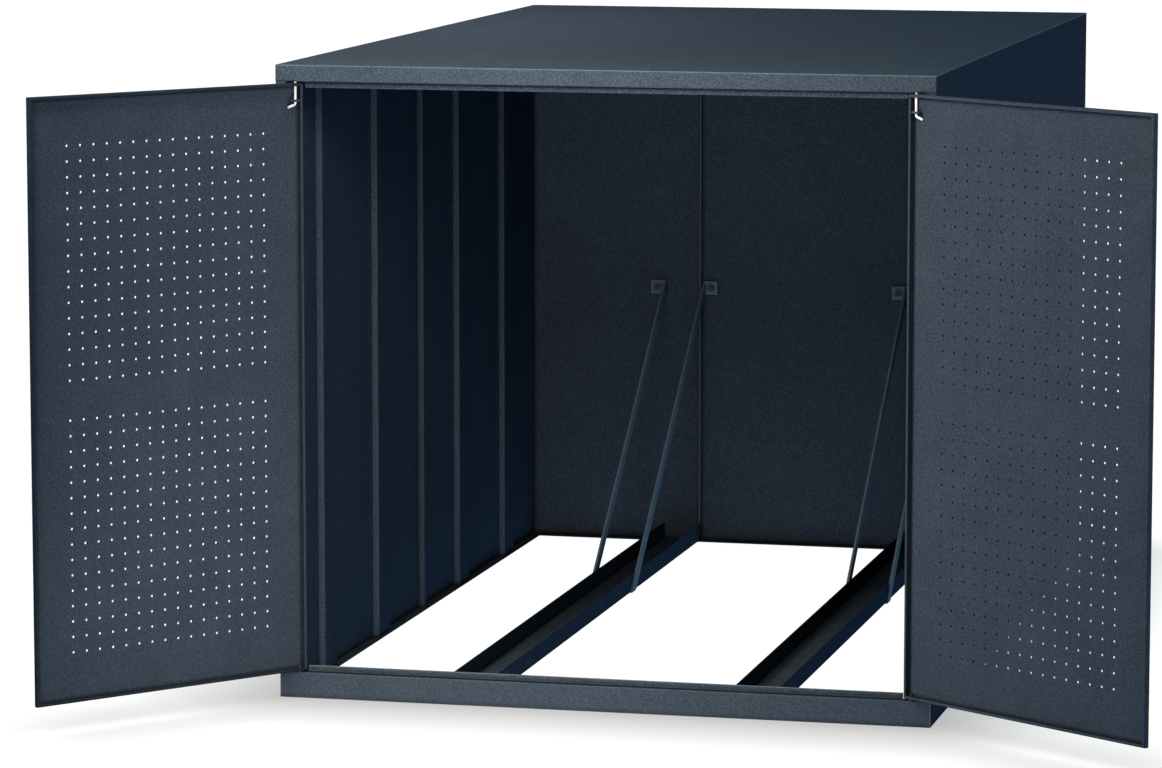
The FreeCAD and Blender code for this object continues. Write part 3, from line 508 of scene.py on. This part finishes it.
def make_leaf(side):
    """A punched and folded leaf in its place, which stands for the plain one."""
    sizes = bpy.context.scene.locker_leaf
    left = side == "left"
    bm = leaf_sheet(sizes, left)
    angle = -sizes.left_angle if left else sizes.right_angle
    across = -sizes.pivot_x if left else sizes.pivot_x
    pivot = Matrix.Translation((across, sizes.pivot_y, sizes.bottom))
    stand = pivot @ Matrix.Rotation(angle, 4, "Z")
    bmesh.ops.transform(bm, matrix=stand, verts=bm.verts[:])
    mesh = bpy.data.meshes.new(side + "_punched_leaf")
    bm.to_mesh(mesh)
    bm.free()
    piece = bpy.data.objects.new(side + "_punched_leaf", mesh)
    bpy.context.scene.collection.objects.link(piece)
    thickness = piece.modifiers.new("sheet", "SOLIDIFY")
    thickness.thickness = sizes.sheet
    thickness.offset = -1
    thickness.use_even_offset = True
    mesh.materials.append(finish("calm_powder_coat"))
    mesh.materials.append(finish("rim_shade_powder_coat"))
    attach(piece, side + "_door")
    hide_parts(side + "_door_leaf")


class LOCKER_OT_coat_sheet(bpy.types.Operator):
    """Gives every coated steel piece its textured powder coat"""

    bl_idname = "locker.coat_sheet"
    bl_label = "Coat the Sheet Steel"

    def execute(self, context):
        # Every coated piece gets painted shade on faces turned sideways.
        coat(nodes_of(COAT_SLOT), finish("textured_powder_coat"))
        # The slanted bars get a paler coat than the sheet's, painted light that makes them look
        # lit.
        coat(GUIDE_BARS, finish("bar_light_powder_coat"))
        # The roof and the sill get painted highlights on their folds' edges, the sill painted
        # shade on its ledge, the rear sheets painted light, highlights and shade low down, and
        # the ribs painted light on their fronts.
        coat(["roof_panel"], finish("edge_highlight_powder_coat"))
        coat(["threshold"], finish("sill_powder_coat"))
        coat(REAR_SHEETS, finish("rear_powder_coat"))
        coat([name for name in frame["nodes"] if "_wall_rib_" in name],
             finish("rib_powder_coat"))
        return {"FINISHED"}


class LOCKER_OT_plate_fittings(bpy.types.Operator):
    """Gives the hinge pins, pivots, washers and bolts their zinc plating"""

    bl_idname = "locker.plate_fittings"
    bl_label = "Plate the Fittings"

    def execute(self, context):
        coat(nodes_of(ZINC_SLOT), finish("dark_zinc_plate"))
        coat(HINGE_PINS, finish("bright_zinc_plate"))
        return {"FINISHED"}


class LOCKER_OT_door_leaves(bpy.types.Operator):
    """Folds and punches both door leaves"""

    bl_idname = "locker.door_leaves"
    bl_label = "Make the Door Leaves"

    def execute(self, context):
        for side in ("left", "right"):
            make_leaf(side)
        return {"FINISHED"}


# Stage

SOFT_SUN = {"angle": math.radians(20)}
# Name, kind, place, aim, watts (for a sun, watts a square metre), colour and settings. The warm
# lights in front balance the floor's cool light, and the others reach what those don't.
LIGHTS = (
    ("front_light", "SUN", (1.1, -8.4, 0.5), (0, 0, 0), 0.65, (1.0, 0.76, 0.52), SOFT_SUN),
    ("key_light", "AREA", (-1.1, -2.1, 2.3), (-0.3, -1.0, 1.2), 48, (1.0, 0.9, 0.72),
     {"shape": "SQUARE", "size": 0.7}),
    ("fill_light", "AREA", (1.0, -2.4, 1.7), (0.4, -1.0, 0.9), 11, (1.0, 0.85, 0.55),
     {"shape": "SQUARE", "size": 0.7}),
    ("strip_light", "AREA", (0.0, -1.75, 1.5), (0.0, -1.05, 1.23), 8, (1.0, 0.84, 0.72),
     {"shape": "RECTANGLE", "size": 0.6, "size_y": 0.2}),
    ("low_light", "AREA", (-0.25, -1.9, 0.32), (-0.05, -1.03, 0.03), 13, (1.0, 0.82, 0.67),
     {"shape": "SQUARE", "size": 0.6}),
    ("rear_light", "SUN", (-4.5, 7.0, 0.15), (0, 0, 0), 1.0, (1.0, 0.8, 0.6), SOFT_SUN),
    ("side_light", "SUN", (7.0, 4.0, 0.15), (0, 0, 0), 0.75, (1.0, 0.55, 0.3), SOFT_SUN),
    ("roof_light", "AREA", (-0.6, 0.33, 1.95), (-0.6, 0.35, 1.26), 7.5, (1.0, 0.82, 0.78),
     {"shape": "RECTANGLE", "size": 0.3, "size_y": 1.5}),
    ("top_light", "SUN", (0, 0, 9), (0, 0, 0), 0.8, (0.1, 0.75, 1.0), SOFT_SUN),
)


def add_light(name, kind, place, aim, power, colour, settings):
    """A soft light that faces its aim and isn't seen itself."""
    lamp = bpy.data.lights.new(name, kind)
    lamp.energy = power
    lamp.color = colour
    for setting, amount in settings.items():
        setattr(lamp, setting, amount)
    holder = bpy.data.objects.new(name, lamp)
    holder.location = place
    holder.visible_camera = False
    holder.rotation_euler = (Vector(aim) - Vector(place)).to_track_quat("-Z", "Y").to_euler()
    bpy.context.scene.collection.objects.link(holder)


def floor_glow(tree, place):
    """How brightly the floor glows: evenly within the walls, and less where a shadow falls."""
    # The glow dims where something stands near, as a soft contact shadow.
    near = node(tree, "ShaderNodeAmbientOcclusion", {"samples": 8}, {
        "Distance": CONTACT_REACH})
    contact = node(tree, "ShaderNodeMapRange", {}, {
        "Value": near.outputs["AO"], "From Min": 0.45, "From Max": 0.94,
        "To Min": 0.5, "To Max": 1.0})
    # The cabinet's own soft shadow lies round its footprint.
    spread = node(tree, "ShaderNodeVectorMath", {"operation": "ABSOLUTE"}, {0: place})
    past = node(tree, "ShaderNodeVectorMath", {"operation": "SUBTRACT"}, {
        0: spread.outputs["Vector"], 1: FOOTPRINT})
    outside = node(tree, "ShaderNodeVectorMath", {"operation": "MAXIMUM"}, {
        0: past.outputs["Vector"], 1: (0, 0, 0)})
    away = node(tree, "ShaderNodeVectorMath", {"operation": "LENGTH"}, {
        0: outside.outputs["Vector"]})
    shadow = node(tree, "ShaderNodeMapRange", {}, {
        "Value": away.outputs["Value"], "From Min": 0.0, "From Max": SHADOW_REACH,
        "To Min": 0.5, "To Max": 1.0})
    darker = node(tree, "ShaderNodeMath", {"operation": "MINIMUM"}, {
        0: contact.outputs["Result"], 1: shadow.outputs["Result"]})
    parts = node(tree, "ShaderNodeSeparateXYZ", {}, {"Vector": place})
    across = node(tree, "ShaderNodeMath", {"operation": "COMPARE"}, {
        0: parts.outputs["X"], 1: 0.0, 2: WITHIN_WALLS[0]})
    along = node(tree, "ShaderNodeMath", {"operation": "COMPARE"}, {
        0: parts.outputs["Y"], 1: 0.0, 2: WITHIN_WALLS[1]})
    within = node(tree, "ShaderNodeMath", {"operation": "MULTIPLY"}, {
        0: across.outputs["Value"], 1: along.outputs["Value"]})
    return node(tree, "ShaderNodeMath", {"operation": "MAXIMUM"}, {
        0: darker.outputs["Value"], 1: within.outputs["Value"]}).outputs["Value"]


def make_floor():
    """Matt, pale studio floor, lit from below as a light table is, so that it stays white."""
    colours = bpy.context.scene.locker_finishes
    bm = bmesh.new()
    bmesh.ops.create_grid(bm, x_segments=1, y_segments=1, size=HALF_FLOOR)
    mesh = bpy.data.meshes.new("studio_floor")
    bm.to_mesh(mesh)
    bm.free()
    floor = bpy.data.objects.new("studio_floor", mesh)
    bpy.context.scene.collection.objects.link(floor)
    material, tree, place = new_material("pale_studio_floor")
    # Patches about a third of a metre across are a little smoother or rougher.
    mottle = node(tree, "ShaderNodeTexNoise", {}, {
        "Vector": place, "Scale": 3.0, "Detail": 2.0})
    rough = node(tree, "ShaderNodeMapRange", {}, {
        "Value": mottle.outputs["Fac"], "To Min": 0.85, "To Max": 0.95})
    # It looks white, and gives the locker a cool light from below.
    ray = node(tree, "ShaderNodeLightPath", {}, {})
    tint = node(tree, "ShaderNodeMix", {"data_type": "RGBA"}, {
        0: ray.outputs["Is Camera Ray"], 6: linear(colours.floor_light),
        7: linear(colours.floor)})
    shader = node(tree, "ShaderNodeBsdfPrincipled", {}, {
        "Base Color": linear(colours.floor_body), "Roughness": rough.outputs["Result"],
        "Emission Color": tint.outputs[2], "Emission Strength": floor_glow(tree, place)})
    node(tree, "ShaderNodeOutputMaterial", {}, {"Surface": shader.outputs["BSDF"]})
    mesh.materials.append(material)


def make_camera():
    """The camera in front of the locker, a little to the right, with a long lens."""
    lens = bpy.data.cameras.new("front_camera")
    lens.sensor_width = 36
    lens.lens = 153.84
    lens.clip_end = 500
    camera = bpy.data.objects.new("front_camera", lens)
    camera.location = (2.2247, -10.3339, 1.9434)
    camera.rotation_euler = (math.radians(82.296), 0, math.radians(13.673))
    bpy.context.scene.collection.objects.link(camera)
    bpy.context.scene.camera = camera


def make_sky():
    """Dim, cool and even light from all round."""
    world = bpy.data.worlds.new("studio")
    world.use_nodes = True
    sky = world.node_tree.nodes["Background"]
    sky.inputs["Color"].default_value = (0.75, 0.95, 1, 1)
    sky.inputs["Strength"].default_value = 0.19
    bpy.context.scene.world = world


class LOCKER_OT_stage(bpy.types.Operator):
    """Sets the pale floor, the soft lights and the camera"""

    bl_idname = "locker.stage"
    bl_label = "Set the Stage"

    def execute(self, context):
        make_floor()
        make_camera()
        make_sky()
        for light in LIGHTS:
            add_light(*light)
        # Plain sRGB keeps the white floor white beside the dark coat.
        context.scene.view_settings.view_transform = "Standard"
        return {"FINISHED"}


class LOCKER_PT_panel(bpy.types.Panel):
    """Lists the locker's pieces, sizes and colours"""

    bl_idname = "LOCKER_PT_panel"
    bl_label = "Bicycle Locker"
    bl_space_type = "VIEW_3D"
    bl_region_type = "UI"
    bl_category = "Bicycle Locker"

    def draw(self, context):
        layout = self.layout
        for operator in OPERATORS:
            layout.operator(operator.bl_idname)
        for group in (context.scene.locker_leaf, context.scene.locker_finishes):
            box = layout.box()
            for name in group.bl_rna.properties.keys():
                if name not in ("rna_type", "name"):
                    box.prop(group, name)


OPERATORS = (LOCKER_OT_coat_sheet, LOCKER_OT_plate_fittings, LOCKER_OT_door_leaves,
             LOCKER_OT_stage)
CLASSES = (LockerLeafSizes, LockerFinishes) + OPERATORS + (LOCKER_PT_panel,)


def register():
    for item in CLASSES:
        bpy.utils.register_class(item)
    bpy.types.Scene.locker_leaf = bpy.props.PointerProperty(type=LockerLeafSizes)
    bpy.types.Scene.locker_finishes = bpy.props.PointerProperty(type=LockerFinishes)


def unregister():
    del bpy.types.Scene.locker_finishes
    del bpy.types.Scene.locker_leaf
    for item in reversed(CLASSES):
        bpy.utils.unregister_class(item)


def corners(box):
    return [list(corner) for corner in box]


def main():
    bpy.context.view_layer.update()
    register()
    bpy.ops.locker.coat_sheet()
    bpy.ops.locker.plate_fittings()
    bpy.ops.locker.door_leaves()
    bpy.ops.locker.stage()


if __name__ == "__main__":
    main()
